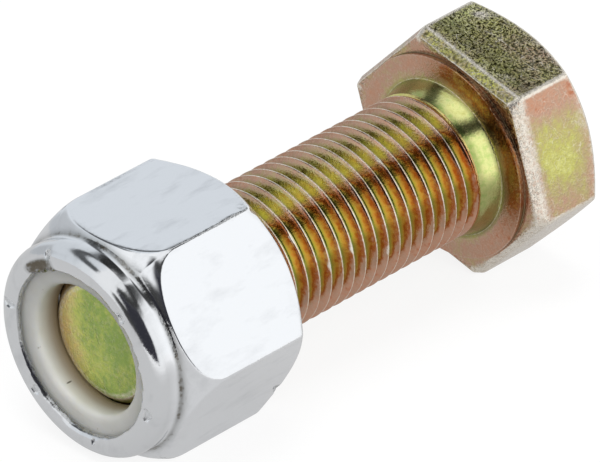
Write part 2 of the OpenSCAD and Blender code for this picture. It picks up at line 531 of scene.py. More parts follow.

# %% [markdown]
# Painted shade darkens the roots, where the least light reaches, and two dark bands along the bolt are
# painted reflections. The darkening is the largest of several shares: one for every root, and others
# for the low and high sides, for the shaded flanks in front and for the two bands. The flat end of the
# tip is lime green, and gold on its far side, with a little painted shade on one side.

# %% Painted shade on the thread, and the tip
before_far = fade((200 - around) / 40)
low_side = fade((22 - around) / 10) * fade((around + 32) / 20)
high_side = fade((around - 76) / 10) * before_far
front_side = fade((38 - np.abs(around - 18)) / 12)
middle_band = fade((11 - np.abs(around - 42)) / 6)
upper_band = fade((14 - np.abs(around - 78)) / 8)
# painted shade in the roots and the shaded flanks, and painted dark reflections in two bands along the bolt
thread_painted_shade = np.maximum.reduce([
    0.6 * fade((turn - 0.12) / 0.3) * (low_side + high_side),
    0.5 * fade((turn - 0.33) / 0.07),
    0.26 * fade((0.26 - turn) / 0.14) * fade(turn / 0.04) * front_side,
    0.06 * fade((around - 70) / 20) * before_far,
    0.3 * fade((turn - 0.1) / 0.1) * middle_band,
    0.4 * fade((turn - 0.3) / 0.08) * upper_band,
])
painted_shade[on_thread] = thread_painted_shade[on_thread]

on_tip = bolt_zone == "tip"
film[on_tip] = (0.03 + 0.25 * fade((-bolt_y - 1.0) / 3.8))[on_tip]
grain[on_tip] = 0.27
# painted shade on one side of the tip
painted_shade[on_tip] = (0.14 * fade((bolt_y - 0.5) / 2.5))[on_tip]
print("mean residue on the thread:", round(float(thread_painted_shade[on_thread].mean()), 2))

# %% [markdown]
# Last for the bolt, its wear. Ridges and the light trim have been rubbed to pale zinc, and a few scuffs
# lie on the flats. Each scuff is a soft spot, given by its flat, its place across and along it, its
# size and its strength; fine scratches are left to the shader, which only needs to know where.

# %% Worn ridges and scuffs
SCUFFS = [
    (1, 0.73, -6.3, 0.13, 1.1), (1, 0.09, -5.6, 0.09, 0.9), (1, -0.59, -2.4, 0.12, 1.0),
    (0, -0.05, -4.6, 0.16, 0.4), (0, 0.3, -6.4, 0.2, 0.35),
]
RIDGE_FROM_R = 9.2


def raise_wear_and_reflection(where, amount):
    """Raises the bolt's wear, and on the lower flat its painted reflection, to at least this at the chosen
    points.
    """
    bolt_wear_and_reflection[where] = np.maximum(bolt_wear_and_reflection, amount)[where]


on_ridge = (on_flat | on_crown) & (bolt_r > RIDGE_FROM_R)
raise_wear_and_reflection(on_ridge, fade(1.3 - from_ridge(bolt_turn, HEAD_ROLL) / 1.5))
raise_wear_and_reflection(right_trim, 0.7)
# painted reflection: the lower flat is made pale, for the pale sheen it shows at a grazing angle
raise_wear_and_reflection(on_flat & (flat_number == 5), 0.75)
for number, middle, place_x, size, strength in SCUFFS:
    spot = np.exp(-(((across - middle) / size) ** 2) - ((bolt_x - place_x) / (3 * size)) ** 2)
    raise_wear_and_reflection(on_flat & (flat_number == number), strength * spot)
scuff = np.where(on_flat, np.where(flat_number == 1, 1.0, 0.6), 0.0)

bolt_numbers = {"film": film, "scuff": scuff, "painted_shade": painted_shade, "worn": bolt_wear_and_reflection, "grain": grain}
for name, values in bolt_numbers.items():
    note(bolt, bolt_owner, name, values)
    print(name, "from", round(float(values.min()), 2), "to", round(float(values.max()), 2))

# %% [markdown]
# The lock nut is a hex nut whose upper end is domed down to a collar, and the collar is rolled over the
# nylon ring. Its half-section is a closed loop: bearing face, flat, dome, collar, rolled rim, lip,
# pocket and threaded bore. The dome starts at a different height at each angle, which draws the low
# arches at the ends of the flats.

# %% Nut measures
GRIP = 24.75
NUT_FLAT = 9.525
NUT_CORNER = 0.31
NUT_H = 15.5
DOME_H = 9.9
DOME_R = 3.45
DOME_MIDDLE = 10.95 - DOME_R
BEARING_R = 9.05
BEARING_SLOPE = math.tan(math.radians(39))
COLLAR_FOOT_R = 9.2
RIM_R = 1.3
RIM_MIDDLE = 9.13 - RIM_R
LIP_R = 7.15
POCKET_R = 8.05
LIP_TOP, LIP_UNDER, POCKET_FLOOR = 15.3, 14.9, 11.5
LIP_FALL = [(0.01, 7.7), (0.03, 7.6), (0.06, 7.5), (0.09, 7.4)]
CRIMP_MARKS = [
    (47, 7.7, 0.5, 0.45, 0.3), (110, 8.4, 0.3, 0.36, 0.22), (169, 7.85, 0.34, 0.6, 0.3),
    (226, 7.5, 0.5, 0.3, 0.2), (280, 7.5, 0.16, 0.25, 0.35), (344, 8.0, 0.6, 0.4, 0.3),
]

crimp_angles = [mark + step * 0.55 for mark, *_ in CRIMP_MARKS for step in range(-8, 9)]
nut_angles = stave_angles(0, NUT_FLAT, NUT_CORNER, [*crimp_angles, *range(0, 360, 2)])
nut_count = len(nut_angles)
nut_r = hex_radius(nut_angles, 0, NUT_FLAT, NUT_CORNER)
dome_from = np.arccos(np.clip((nut_r - DOME_MIDDLE) / DOME_R, -1, 1))
dome_to = math.acos((COLLAR_FOOT_R - DOME_MIDDLE) / DOME_R)
print("nut staves:", nut_count)

# %% [markdown]
# The corners of the nut's half-section, from the bearing face out and round to the pocket. The dome and
# the rolled rim are arcs, so each has a small function that gives a corner at a share of the arc. Rows
# stand close together where the photograph shows marks, and wide apart where the metal is plain.

# %% Nut corners


def dome_corner(share, reach=0, worn=0.0):
    """Corner on the dome, from the end of the flat (0) to the foot of the collar (1)."""
    angle = dome_from + (dome_to - dome_from) * share
    x = GRIP + DOME_H + DOME_R * np.sin(angle)
    return (x, DOME_MIDDLE + DOME_R * np.cos(angle), reach, worn, "dome")


def rim_corner(degrees):
    """Corner on the rolled rim, from its side (0) to its top (90)."""
    angle = math.radians(degrees)
    x = GRIP + NUT_H - RIM_R + RIM_R * math.sin(angle)
    return (x, RIM_MIDDLE + RIM_R * math.cos(angle), 0, 0.0, "rim")


bearing_x = GRIP + (nut_r - BEARING_R) * BEARING_SLOPE
nut_ridge_off = from_ridge(nut_angles, 0)
bearing_reach = 0.2 + 0.3 * fade(1 - nut_ridge_off / 16)
flat_end = GRIP + DOME_H + DOME_R * np.sin(dome_from)
nut_corners = [
    (GRIP, 6.9, 0.15, 0.2, "bearing"),
    (GRIP, 8.0, 0, 0.0, "bearing"),
    (GRIP, BEARING_R, 0.15, 0.4, "bearing"),
    (bearing_x, nut_r, bearing_reach, 0.7, "flat"),
    *((bearing_x + up, nut_r, 0, 0.0, "flat") for up in (0.7, 1.1, 1.6, 2.2)),
    *((bearing_x + (flat_end - bearing_x) * share, nut_r, 0, 0.0, "flat") for share in (0.4, 0.7)),
    dome_corner(0, 0.5, 0.2),
    dome_corner(0.25), dome_corner(0.5), dome_corner(0.75),
    dome_corner(1, 0.5, 0.0),
    (GRIP + 13.4, 9.07, 0.15, 0.0, "collar"),
]
nut_corners += [rim_corner(d) for d in (*range(0, 45, 9), *range(45, 91, 5))]
nut_corners += [
    *((GRIP + NUT_H - fall, r, 0, 0.0, "lip") for fall, r in LIP_FALL),
    (GRIP + LIP_TOP, LIP_R, 0.12, 0.5, "lip"),
    (GRIP + LIP_UNDER, LIP_R - 0.15, 0.1, 0.2, "lip"),
    (GRIP + LIP_UNDER, POCKET_R, 0, 0.0, "pocket"),
    (GRIP + POCKET_FLOOR, POCKET_R, 0, 0.0, "pocket"),
]
nut_rows = eased(nut_corners, nut_count, loop=True)
print("nut rows before the bore:", len(nut_rows))

# %% [markdown]
# The bore carries the same helix as the bolt, a hair wider, so the two threads really mesh and the nut
# can be turned along the bolt without cutting into it. Its rows run back from the pocket to the bearing
# face, so they are the helix rows in reverse, and the seam steps backwards too.

# %% Nut skin
THREAD_GAP = 0.06
BORE_MOUTH = 6.9


def bore_row(x):
    """Row of the nut's own thread, opened to a cone at the mouth and to the pocket at the other end."""
    mouth = BORE_MOUTH - (x - GRIP)
    inner = THREAD_R + 0.07 - (GRIP + POCKET_FLOOR - x)
    r = np.maximum(thread_radius(x, nut_angles) + THREAD_GAP, np.maximum(mouth, inner))
    return (x, r, np.zeros(nut_count), "bore")


bore_places = helix_rows(GRIP + 0.2, GRIP + POCKET_FLOOR, nut_angles)
bore_rows = [bore_row(x) for x in reversed(bore_places)]
nut_seam = np.arange(len(nut_rows) + len(bore_rows))
bore_first = len(nut_rows)
nut_seam[bore_first:] = np.maximum(nut_seam[bore_first:] - len(THREAD_STOPS), bore_first)
nut_rows += bore_rows
print("nut rows with the bore:", len(nut_rows))

# %% [markdown]
# Where the collar was crimped, six shallow peened marks were left in the lip, its edge wanders and is
# torn in two places, and the ridges of the hex are chipped. All are moves of the finished rows. A
# boolean for each mark would leave ragged faces, while a soft dent in the rows keeps the skin whole. A
# mark is given by its angle, its place, its two sizes and its depth, and a torn edge by its middle, its
# half width and the waves that run along it.

# %% Marks and waves
CHIPS = [
    (58.6, 26.1, 0.4, 0.4, 0.16), (61.2, 26.9, 0.35, 0.35, 0.13), (59.4, 27.9, 0.3, 0.5, 0.1),
    (60.6, 29.6, 0.25, 0.4, 0.07), (59.6, 31.4, 0.25, 0.6, 0.06), (314, 25.6, 0.45, 0.5, 0.26),
    (318, 26.0, 0.3, 0.3, 0.2), (117, 26.4, 0.4, 0.4, 0.05), (355, 26.3, 0.4, 0.4, 0.06),
]
LIP_WANDER = [
    (3, 0.035, 20), (5, 0.03, 140), (11, 0.02, 75), (17, 0.016, 10), (29, 0.012, 200), (43, 0.01, 60),
]
RIM_RIPPLE = [(7, 0.012, 30), (13, 0.012, 100), (22, 0.012, 250), (31, 0.008, 10)]
TORN_EDGES = [
    (30, 45, [(23, 0.1, 0), (37, 0.08, 60)]),
    (121, 16, [(41, 0.12, 0), (67, 0.08, 30)]),
]


def wave(parts):
    """Sum of waves round the nut, each given as times round, size and start."""
    return sum(size * np.sin(np.radians(nut_angles * times + start)) for times, size, start in parts)


def window(middle, half):
    """1 near an angle round the nut, fading to 0 at half degrees from it."""
    return fade(1.5 - 1.5 * np.abs(turn_between(nut_angles, middle)) / half)


def dents_in(marks, across_mm, r_or_x, steep):
    """How far marks press in a row: each has an angle, a place, two sizes and a depth."""
    depth = np.zeros(nut_count)
    for mark, middle, wide, long, deep in marks:
        aside = np.radians(turn_between(nut_angles, mark)) * across_mm
        reach = np.hypot(aside / wide, (r_or_x - middle) / long)
        depth = np.maximum(depth, deep * fade((1.15 - reach) / steep))
    return depth


torn = sum(window(middle, half) * wave(parts) for middle, half, parts in TORN_EDGES)
print("torn edge, mm:", round(float(torn.min()), 2), "to", round(float(torn.max()), 2))

# %% [markdown]
# Each zone of the nut gets its own marks, dirt and painted shade: the lip is peened and dulled, its
# inner wall is darkened with painted shade, and it has one dark burr; the crease under the collar is
# darkened in patches with painted shade; and the chips on the ridges are bare. The peened marks are
# stored as very worn, and the shader makes such places matt, since a smooth dent would mirror the dark
# camera opening and look like a drilled hole.

# %% Work the marks into the nut
LIP_MIDDLE_R, RIDGE_R = 8.0, 10.8
LIP_STEEP, CHIP_STEEP = 0.5, 1.0
EVERY_MARK_FULL = [(*mark[:4], 1.0) for mark in CRIMP_MARKS]
BURR_ANGLE, BURR_HALF, BURR_R, BURR_REACH = 121, 17, 7.6, 0.75
CREASE_X = GRIP + DOME_H + DOME_R * math.sin(dome_to) + 0.1
CREASE_SHADE, CREASE_HALF = 0.7, 0.24
CREASE_PATCHES = [(5, 0.12, 40), (9, 0.1, 200), (21, 0.08, 90)]
SHARP_FROM = 40


def lip_row(x, r, worn, zone):
    """Row of the lip or the rim with its marks, and the dirt and painted shade on it."""
    pressed = dents_in(CRIMP_MARKS, LIP_MIDDLE_R, r, LIP_STEEP)
    peened = dents_in(EVERY_MARK_FULL, LIP_MIDDLE_R, r, LIP_STEEP)
    edge = fade((7.5 - r) / 0.3) if zone == "lip" else 0
    ripple = wave(RIM_RIPPLE) * window(75, 70) if zone == "rim" else 0
    moved = r + (pressed + wave(LIP_WANDER) + torn) * edge + ripple
    burr = window(BURR_ANGLE, BURR_HALF) * fade(1.5 - 1.5 * np.abs(r - BURR_R) / BURR_REACH)
    # painted shade on the inner wall of the lip; elsewhere the lip and rim are dulled a little
    inner_edge = (x < GRIP + LIP_TOP - 0.05) & (zone == "lip")
    dulled_and_shaded = np.where(inner_edge, 0.36, 0.11 * fade(1 - peened))
    return (x - pressed, moved, np.maximum(worn, 2 * peened), zone), np.maximum(dulled_and_shaded, burr)


nut_dirt_and_shade = [np.zeros(nut_count) for _ in nut_rows]
for i, (x, r, worn, zone) in enumerate(nut_rows):
    if zone in ("lip", "rim"):
        nut_rows[i], nut_dirt_and_shade[i] = lip_row(x, r, worn, zone)
    if zone in ("dome", "collar"):
        # painted shade in the crease under the collar, in patches
        in_crease = np.exp(-(((x - CREASE_X) / CREASE_HALF) ** 2))
        nut_dirt_and_shade[i] = CREASE_SHADE * in_crease * (0.75 + wave(CREASE_PATCHES))
    if zone == "flat":
        chipped = dents_in(CHIPS, RIDGE_R, x, CHIP_STEEP)
        rubbed = np.maximum(6 * chipped, 0.6 * fade(1.35 - nut_ridge_off / 1.2))
        nut_rows[i] = (x, r - chipped, np.maximum(worn, rubbed), zone)

nut, nut_owner = skin("lock_nut_steel", nut_rows, nut_angles, nut_seam, loop=True)
nut.data.set_sharp_from_angle(angle=math.radians(SHARP_FROM))
nut.modifiers[0].keep_sharp = True
note(nut, nut_owner, "worn", np.array([row[2] for row in nut_rows]))
note(nut, nut_owner, "dirt_and_shade", np.array(nut_dirt_and_shade))

# %% [markdown]
# The nylon ring sits in the pocket under the lip. Its bore is smaller than the thread, so the bolt's
# tip has pressed a cone into the back of it. It is a plain turned shape, so a short loop of corners on
# even staves is enough, and the soft front edge of the bore is one wide rounding. The bore is darkened
# brown with painted shade, stored as a number that grows towards the back.

# %% Nylon ring
INSERT_BACK, INSERT_FRONT = 36.3, 39.4
INSERT_R = 8.0
INSERT_BORE_R = 5.55
INSERT_EDGE = 0.8
FORMED_GAP = 0.1

ring_angles = np.arange(0, 360, 2.5)
ring_corners = [
    (INSERT_BACK, TIP_R + TIP_X - INSERT_BACK + FORMED_GAP, 0, 0.0, "back"),
    (INSERT_BACK, INSERT_R, 0.1, 0.0, "back"),
    (INSERT_FRONT, INSERT_R, 0.1, 0.0, "front"),
    (INSERT_FRONT, 7.0, 0, 0.0, "front"),
    (INSERT_FRONT, INSERT_BORE_R, INSERT_EDGE, 0.0, "edge"),
    *((x, INSERT_BORE_R, 0, 0.0, "bore") for x in (38.4, 37.9, 37.5)),
    (TIP_R + TIP_X - INSERT_BORE_R + FORMED_GAP, INSERT_BORE_R, 0.1, 0.0, "bore"),
]
ring_rows = eased(ring_corners, len(ring_angles), loop=True)
ring, ring_owner = skin("nylon_ring", ring_rows, ring_angles, loop=True)
ring_x = np.array([row[0] for row in ring_rows])
ring_r = np.array([row[1] for row in ring_rows])
bore_shade = np.where(ring_r < 6.4, fade((INSERT_FRONT - 0.35 - ring_x) / 1.6), 0.0)
note(ring, ring_owner, "bore_shade", bore_shade)

# %% [markdown]
# Materials are node trees, and small helpers keep their lines short: grow adds a node, fills its inputs
# by name, and links those that are given as another node's output. Noise scales count the spots in a
# metre, so 4000 means a spot every quarter of a millimetre.

# %% Helpers for nodes


def set_socket(tree, socket, value):
    """Links another node's output to a socket, or sets a plain value on it."""
    if isinstance(value, bpy.types.NodeSocket):
        tree.links.new(value, socket)
    else:
        socket.default_value = value


def grow(tree, kind, settings=None, **inputs):
    """Adds a node and fills its inputs, each given by its name or, as i0 or i1, by its number."""
    made = tree.nodes.new(kind)
    for name, value in (settings or {}).items():
        setattr(made, name, value)
    for name, value in inputs.items():
        numbered = name[0] == "i" and name[1:].isdigit()
        set_socket(tree, made.inputs[int(name[1:]) if numbered else name.replace("_", " ")], value)
    return made


def stored(tree, name):
    """Output that reads a number stored on the mesh."""
    return grow(tree, "ShaderNodeAttribute", {"attribute_name": name}).outputs["Fac"]


def maths(tree, kind, first, second):
    """Output of a maths node on two values."""
    return grow(tree, "ShaderNodeMath", {"operation": kind}, i0=first, i1=second).outputs[0]


def spread(tree, value, low, high, to_low, to_high):
    """Output of a map range, held at both ends."""
    limits = {"i1": low, "i2": high, "i3": to_low, "i4": to_high}
    return grow(tree, "ShaderNodeMapRange", {"clamp": True}, i0=value, **limits).outputs[0]


def speckle(tree, place, scale, detail=2.0, rough=0.5, distort=0.0):
    """Output of a noise texture, a number about one half."""
    look = {"Scale": scale, "Detail": detail, "Roughness": rough, "Distortion": distort}
    return grow(tree, "ShaderNodeTexNoise", Vector=place, **look).outputs[0]


def blend_colour(tree, share, first, second):
    """Output of a colour mix."""
    made = grow(tree, "ShaderNodeMix", {"data_type": "RGBA"})
    for number, value in ((0, share), (6, first), (7, second)):
        set_socket(tree, made.inputs[number], value)
    return made.outputs[2]


def bump(tree, height, strength, depth, over=None):
    """Output of a bump node, laid over another one if that is given."""
    below = {} if over is None else {"Normal": over}
    made = grow(tree, "ShaderNodeBump", Height=height, Strength=strength, Distance=depth, **below)
    return made.outputs[0]


def new_finish(name):
    """Material with an empty tree; returns the material and its tree."""
    finish = bpy.data.materials.new(name)
    finish.use_nodes = True
    finish.node_tree.nodes.clear()
    return finish, finish.node_tree


def place_on(tree):
    """Output that gives the place on the object, in metres."""
    return grow(tree, "ShaderNodeTexCoord").outputs["Object"]


def put_on(piece, finish, shader):
    """Ends a finish with its output node and gives it to a piece."""
    grow(finish.node_tree, "ShaderNodeOutputMaterial", Surface=shader.outputs[0])
    piece.data.materials.append(finish)
    print(finish.name, "has", len(finish.node_tree.nodes), "nodes")


print("node helpers ready, for Blender", bpy.app.version_string)

# %% [markdown]
# The yellow plating. The film number is shifted by slow and fine noise, so that no two places match,
# and a colour ramp turns it into the sequence of film colours. A thin-film setting in the shader would
# follow the physics, but a ramp can be matched to the photograph stop by stop.

# %% Yellow plating: colour
FILM_COLOURS = [
    (0.00, (0.33, 0.47, 0.11)), (0.10, (0.60, 0.66, 0.16)), (0.20, (0.76, 0.66, 0.24)),
    (0.30, (0.78, 0.53, 0.20)), (0.38, (0.72, 0.39, 0.13)), (0.45, (0.48, 0.115, 0.025)),
    (0.52, (0.64, 0.34, 0.22)), (0.60, (0.60, 0.37, 0.26)), (0.70, (0.56, 0.45, 0.22)),
    (0.80, (0.62, 0.60, 0.17)), (0.90, (0.87, 0.87, 0.36)), (1.00, (0.45, 0.66, 0.16)),
]
PALE_ZINC = (0.92, 0.85, 0.74, 1)

yellow, tree = new_finish("yellow_zinc_plating")
place = place_on(tree)
worn_in, grain_in = stored(tree, "worn"), stored(tree, "grain")
slow = spread(tree, speckle(tree, place, 260, 3, 0.55), 0.3, 0.7, -0.09, 0.09)
slow = maths(tree, "MULTIPLY", slow, spread(tree, grain_in, 0.0, 0.5, 0.25, 1.0))
fine = spread(tree, speckle(tree, place, 1900, 3, 0.6), 0.3, 0.7, -0.05, 0.05)
film_here = maths(tree, "ADD", stored(tree, "film"), maths(tree, "ADD", slow, fine))
ramp = grow(tree, "ShaderNodeValToRGB", Fac=film_here)
stops = ramp.color_ramp.elements
while len(stops) < len(FILM_COLOURS):
    stops.new(1.0)
for stop, (at, colour) in zip(stops, FILM_COLOURS):
    stop.position = at
    stop.color = (*colour, 1)
print("film colours:", len(stops))

# %% [markdown]
# Over the film lie the other looks, each mixed in by its own share: sparkling grain, whose pale glints
# are painted, and dark pits where the dies tore the skin, painted shade, hair scratches, and bare pale
# zinc with a ragged border where an edge is worn. Scratches come from noise that is stretched one way:
# the thin line where it crosses one half.

# %% Yellow plating: grain, pits and bare metal
PIT_OLIVE = (0.08, 0.075, 0.015, 1)
PAINTED_SHADE_OLIVE = (0.06, 0.06, 0.01, 1)

glint = spread(tree, speckle(tree, place, 4800, 2, 0.65), 0.46, 0.62, 0.0, 1.0)
patchy = spread(tree, speckle(tree, place, 700, 3, 0.6), 0.36, 0.64, 0.35, 1.0)
sparkle = maths(tree, "MULTIPLY", maths(tree, "MULTIPLY", grain_in, patchy), glint)
pits = spread(tree, speckle(tree, place, 4000, 3, 0.6), 0.38, 0.54, 1.0, 0.0)
pitted = maths(tree, "MULTIPLY", maths(tree, "MULTIPLY", pits, grain_in), grain_in)
border = spread(tree, speckle(tree, place, 3000, 3, 0.7), 0.3, 0.7, -0.45, 0.45)
ragged = maths(tree, "ADD", worn_in, maths(tree, "MULTIPLY", border, worn_in))
bare = spread(tree, ragged, 0.25, 0.8, 0.0, 1.0)

stretch = {"Rotation": (0.5, 0.4, 0.9), "Scale": (1.0, 0.12, 1.0)}
stretched = grow(tree, "ShaderNodeMapping", Vector=place, **stretch).outputs[0]
from_half = maths(tree, "SUBTRACT", speckle(tree, stretched, 900, 1, 0.4, 0.6), 0.5)
from_line = maths(tree, "ABSOLUTE", from_half, 0.0)
scratch = maths(tree, "MULTIPLY", spread(tree, from_line, 0.0, 0.008, 0.8, 0.0), stored(tree, "scuff"))
print("nodes so far:", len(tree.nodes))

# %% [markdown]
# The layers are then stacked in the order in which the real ones came about, with painted shade after
# the pits: film, grain, pits, painted shade, and last the scratches and the bare edges. Torn skin is a
# little rougher than smooth film, and two bumps give it its relief, so grain needs no geometry of its own.

# %% Yellow plating: put together
# painted glints: pale zinc mixed in where the grain sparkles
colour = blend_colour(tree, maths(tree, "MULTIPLY", sparkle, 0.65), ramp.outputs[0], PALE_ZINC)
colour = blend_colour(tree, maths(tree, "MULTIPLY", pitted, 0.9), colour, PIT_OLIVE)
# painted shade, in dark olive
colour = blend_colour(tree, stored(tree, "painted_shade"), colour, PAINTED_SHADE_OLIVE)
colour = blend_colour(tree, scratch, colour, PALE_ZINC)
colour = blend_colour(tree, bare, colour, PALE_ZINC)
rough = spread(tree, grain_in, 0.0, 1.2, 0.13, 0.2)
rough = maths(tree, "ADD", rough, maths(tree, "MULTIPLY", bare, 0.08))
waves = maths(tree, "MULTIPLY", speckle(tree, place, 1400, 2, 0.5), grain_in)
raised = bump(tree, waves, 0.5, 0.04 * MM, bump(tree, sparkle, 1.0, 0.06 * MM))
metal = {"Base_Color": colour, "Metallic": 1.0, "Roughness": rough, "Normal": raised}
put_on(bolt, yellow, grow(tree, "ShaderNodeBsdfPrincipled", **metal))

# %% [markdown]
# The nut is plated in clear bright zinc: nearly a mirror, with a slight swell that bends reflections,
# faint smears where it was handled, and rubbed metal on its edges. The worn number goes past one in the
# peened marks, which makes them matt. Light dirt and painted shade only dull the metal, and where they
# are thick and the pits agree, they turn brown.

# %% Bright zinc
CLEAN_ZINC, SMEARED_ZINC = (0.885, 0.900, 0.925, 1), (0.80, 0.815, 0.84, 1)
RUBBED_ZINC, DULL_AND_SHADED_ZINC = (0.93, 0.94, 0.95, 1), (0.33, 0.335, 0.33, 1)
BROWN_DIRT_AND_SHADE = (0.14, 0.12, 0.09, 1)

bright, tree = new_finish("bright_zinc_plating")
place = place_on(tree)
worn_in, dirt_and_shade_in = stored(tree, "worn"), stored(tree, "dirt_and_shade")
stretch = {"Rotation": (0.3, 0.2, 0.5), "Scale": (0.5, 1.6, 1.0)}
smear_place = grow(tree, "ShaderNodeMapping", Vector=place, **stretch).outputs[0]
smear = spread(tree, speckle(tree, smear_place, 420, 4, 0.6), 0.52, 0.72, 0.0, 1.0)
spots = speckle(tree, place, 2600, 3, 0.7)
pits = spread(tree, spots, 0.3, 0.7, -0.5, 0.5)
ragged = maths(tree, "ADD", worn_in, maths(tree, "MULTIPLY", pits, worn_in))
rubbed = spread(tree, ragged, 0.3, 0.95, 0.0, 1.0)
brown = maths(tree, "ADD", dirt_and_shade_in, maths(tree, "MULTIPLY", pits, 0.7))

colour = blend_colour(tree, smear, CLEAN_ZINC, SMEARED_ZINC)
colour = blend_colour(tree, rubbed, colour, RUBBED_ZINC)
# dirt and painted shade dull the zinc, and turn it brown where thick
colour = blend_colour(tree, spread(tree, dirt_and_shade_in, 0.0, 0.5, 0.0, 0.85), colour, DULL_AND_SHADED_ZINC)
colour = blend_colour(tree, spread(tree, brown, 0.45, 0.85, 0.0, 1.0), colour, BROWN_DIRT_AND_SHADE)
handled = maths(tree, "ADD", maths(tree, "MULTIPLY", smear, 0.35), rubbed)
peened = spread(tree, worn_in, 0.9, 1.8, 0.0, 0.3)
rough = maths(tree, "ADD", spread(tree, handled, 0.0, 1.2, 0.1, 0.4), peened)
swell = bump(tree, speckle(tree, place, 330, 2, 0.5), 0.3, 0.12 * MM)
knocks = maths(tree, "MULTIPLY", spots, maths(tree, "MAXIMUM", worn_in, dirt_and_shade_in))
raised = bump(tree, knocks, 0.8, 0.08 * MM, swell)
metal = {"Base_Color": colour, "Metallic": 1.0, "Roughness": rough, "Normal": raised}
put_on(nut, bright, grow(tree, "ShaderNodeBsdfPrincipled", **metal))

# %% [markdown]
# Nylon is milky: light goes in a little way and comes out again, so it gets a share of subsurface
# scattering. It is moulded, so its skin is fine and even, with a faint cloudiness and a few specks. The
# one dark nick in its front edge is a small ellipsoid in the colour, measured from its own middle.

# %% Nylon
NYLON_LIGHT, NYLON_CLOUDED = (0.90, 0.90, 0.86, 1), (0.83, 0.83, 0.78, 1)
BORE_SHADE_BROWN, SPECK_BROWN, NICK_DARK = (0.34, 0.26, 0.15, 1), (0.45, 0.40, 0.32, 1), (0.10, 0.085, 0.06, 1)
NICK_PLACE = (38.48 * MM, -3.05 * MM, -4.64 * MM)
NICK_SIZE = (0.3 * MM, 0.08 * MM, 0.08 * MM)


def vector_maths(tree, kind, first, second):
    """Output of a maths node on two vectors."""
    return grow(tree, "ShaderNodeVectorMath", {"operation": kind}, i0=first, i1=second).outputs[0]


nylon, tree = new_finish("off_white_nylon")
place = place_on(tree)
cloud = spread(tree, speckle(tree, place, 500, 3, 0.5), 0.3, 0.7, 0.0, 1.0)
speck = spread(tree, speckle(tree, place, 1700, 2, 0.5), 0.73, 0.76, 0.0, 0.6)
in_nick = vector_maths(tree, "DIVIDE", vector_maths(tree, "SUBTRACT", place, NICK_PLACE), NICK_SIZE)
nick_reach = grow(tree, "ShaderNodeVectorMath", {"operation": "LENGTH"}, i0=in_nick).outputs["Value"]
colour = blend_colour(tree, cloud, NYLON_LIGHT, NYLON_CLOUDED)
# painted shade in the bore, tinted brown like light thrown from the yellow tip
colour = blend_colour(tree, maths(tree, "MULTIPLY", stored(tree, "bore_shade"), 0.9), colour, BORE_SHADE_BROWN)
colour = blend_colour(tree, speck, colour, SPECK_BROWN)
colour = blend_colour(tree, spread(tree, nick_reach, 0.6, 1.1, 0.9, 0.0), colour, NICK_DARK)
rough = spread(tree, cloud, 0.0, 1.0, 0.38, 0.5)
raised = bump(tree, speckle(tree, place, 3000, 2, 0.5), 0.15, 0.05 * MM)
milky = {"Subsurface_Weight": 0.35, "Subsurface_Radius": (1.0, 0.9, 0.7), "Subsurface_Scale": 0.8 * MM}
skin_look = {"Base_Color": colour, "Roughness": rough, "Normal": raised}
put_on(ring, nylon, grow(tree, "ShaderNodeBsdfPrincipled", **skin_look, **milky))

# %% [markdown]
# Each new piece now takes the place of its solid: it rides on the same body, so it moves with the joint.

# %% Tie the pieces to the part
for piece, body, node_name, finish_slot in (
    (bolt, "bolt_body", "bolt", "yellow_zinc"),
    (nut, "nut_body", "lock_nut", "bright_zinc"),
    (ring, "insert_body", "nylon_insert", "nylon"),
):
    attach(piece, body)
    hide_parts(node_name)
    print(piece.name, "rides on", body)

# %% [markdown]
# The floor. The bolt lies on its side, on the lowest ridge of the head and the lower flat of the nut,
# so the floor slopes by a little over a degree against the part. It is white to the camera through a
# share of glow, and the rest of it takes light and shadow as paper does. In reflections its glow is
# painted light: darker, and brighter towards the large lamp, which keeps the nut's lower flats grey.

# %% Floor
FLOOR_SLOPE = 0.0247
FLOOR_DROP = -10.45
FLOOR_HALF = 3000
FLOOR_SIDES = ((-1, -1), (1, -1), (1, 1), (-1, 1))
SEEN_BY_CAMERA = 0.85
SEEN_FAR, SEEN_NEAR = 0.47, 0.82


def floor_height(x):
    """Height of the floor under a place along the shank, mm."""
    return FLOOR_DROP + FLOOR_SLOPE * x


def seen_ray(tree):
    """1 for rays that the camera, a reflection or a clear body sends, and 0 for light bouncing about."""
    path = grow(tree, "ShaderNodeLightPath").outputs
    seen = maths(tree, "MAXIMUM", path["Is Camera Ray"], path["Is Glossy Ray"])
    return maths(tree, "MAXIMUM", seen, path["Is Transmission Ray"])


floor_sides = [(FLOOR_HALF * x, FLOOR_HALF * y) for x, y in FLOOR_SIDES]
floor_mesh = bpy.data.meshes.new("floor")
floor_mesh.from_pydata([(x * MM, y * MM, floor_height(x) * MM) for x, y in floor_sides], [], [(0, 1, 2, 3)])
floor = bpy.data.objects.new("floor", floor_mesh)
bpy.context.scene.collection.objects.link(floor)

paper, tree = new_finish("white_floor")
to_lamp = grow(tree, "ShaderNodeSeparateXYZ", Vector=place_on(tree)).outputs["Y"]
# painted light: in reflections the floor glows darker away from the large lamp and brighter towards it
seen_level = spread(tree, to_lamp, 0.03, 0.1, SEEN_FAR, SEEN_NEAR)
seen_glow = maths(tree, "MULTIPLY", seen_ray(tree), seen_level)
camera_ray = grow(tree, "ShaderNodeLightPath").outputs["Is Camera Ray"]
glow_share = maths(tree, "MAXIMUM", seen_glow, maths(tree, "MULTIPLY", camera_ray, SEEN_BY_CAMERA))
glow = grow(tree, "ShaderNodeEmission", Color=(1, 1, 1, 1), Strength=glow_share)
dull = grow(tree, "ShaderNodeBsdfDiffuse", Color=(0.16, 0.16, 0.16, 1))
put_on(floor, paper, grow(tree, "ShaderNodeAddShader", i0=glow.outputs[0], i1=dull.outputs[0]))
print("floor under the nut, mm:", round(floor_height(37.4), 2))

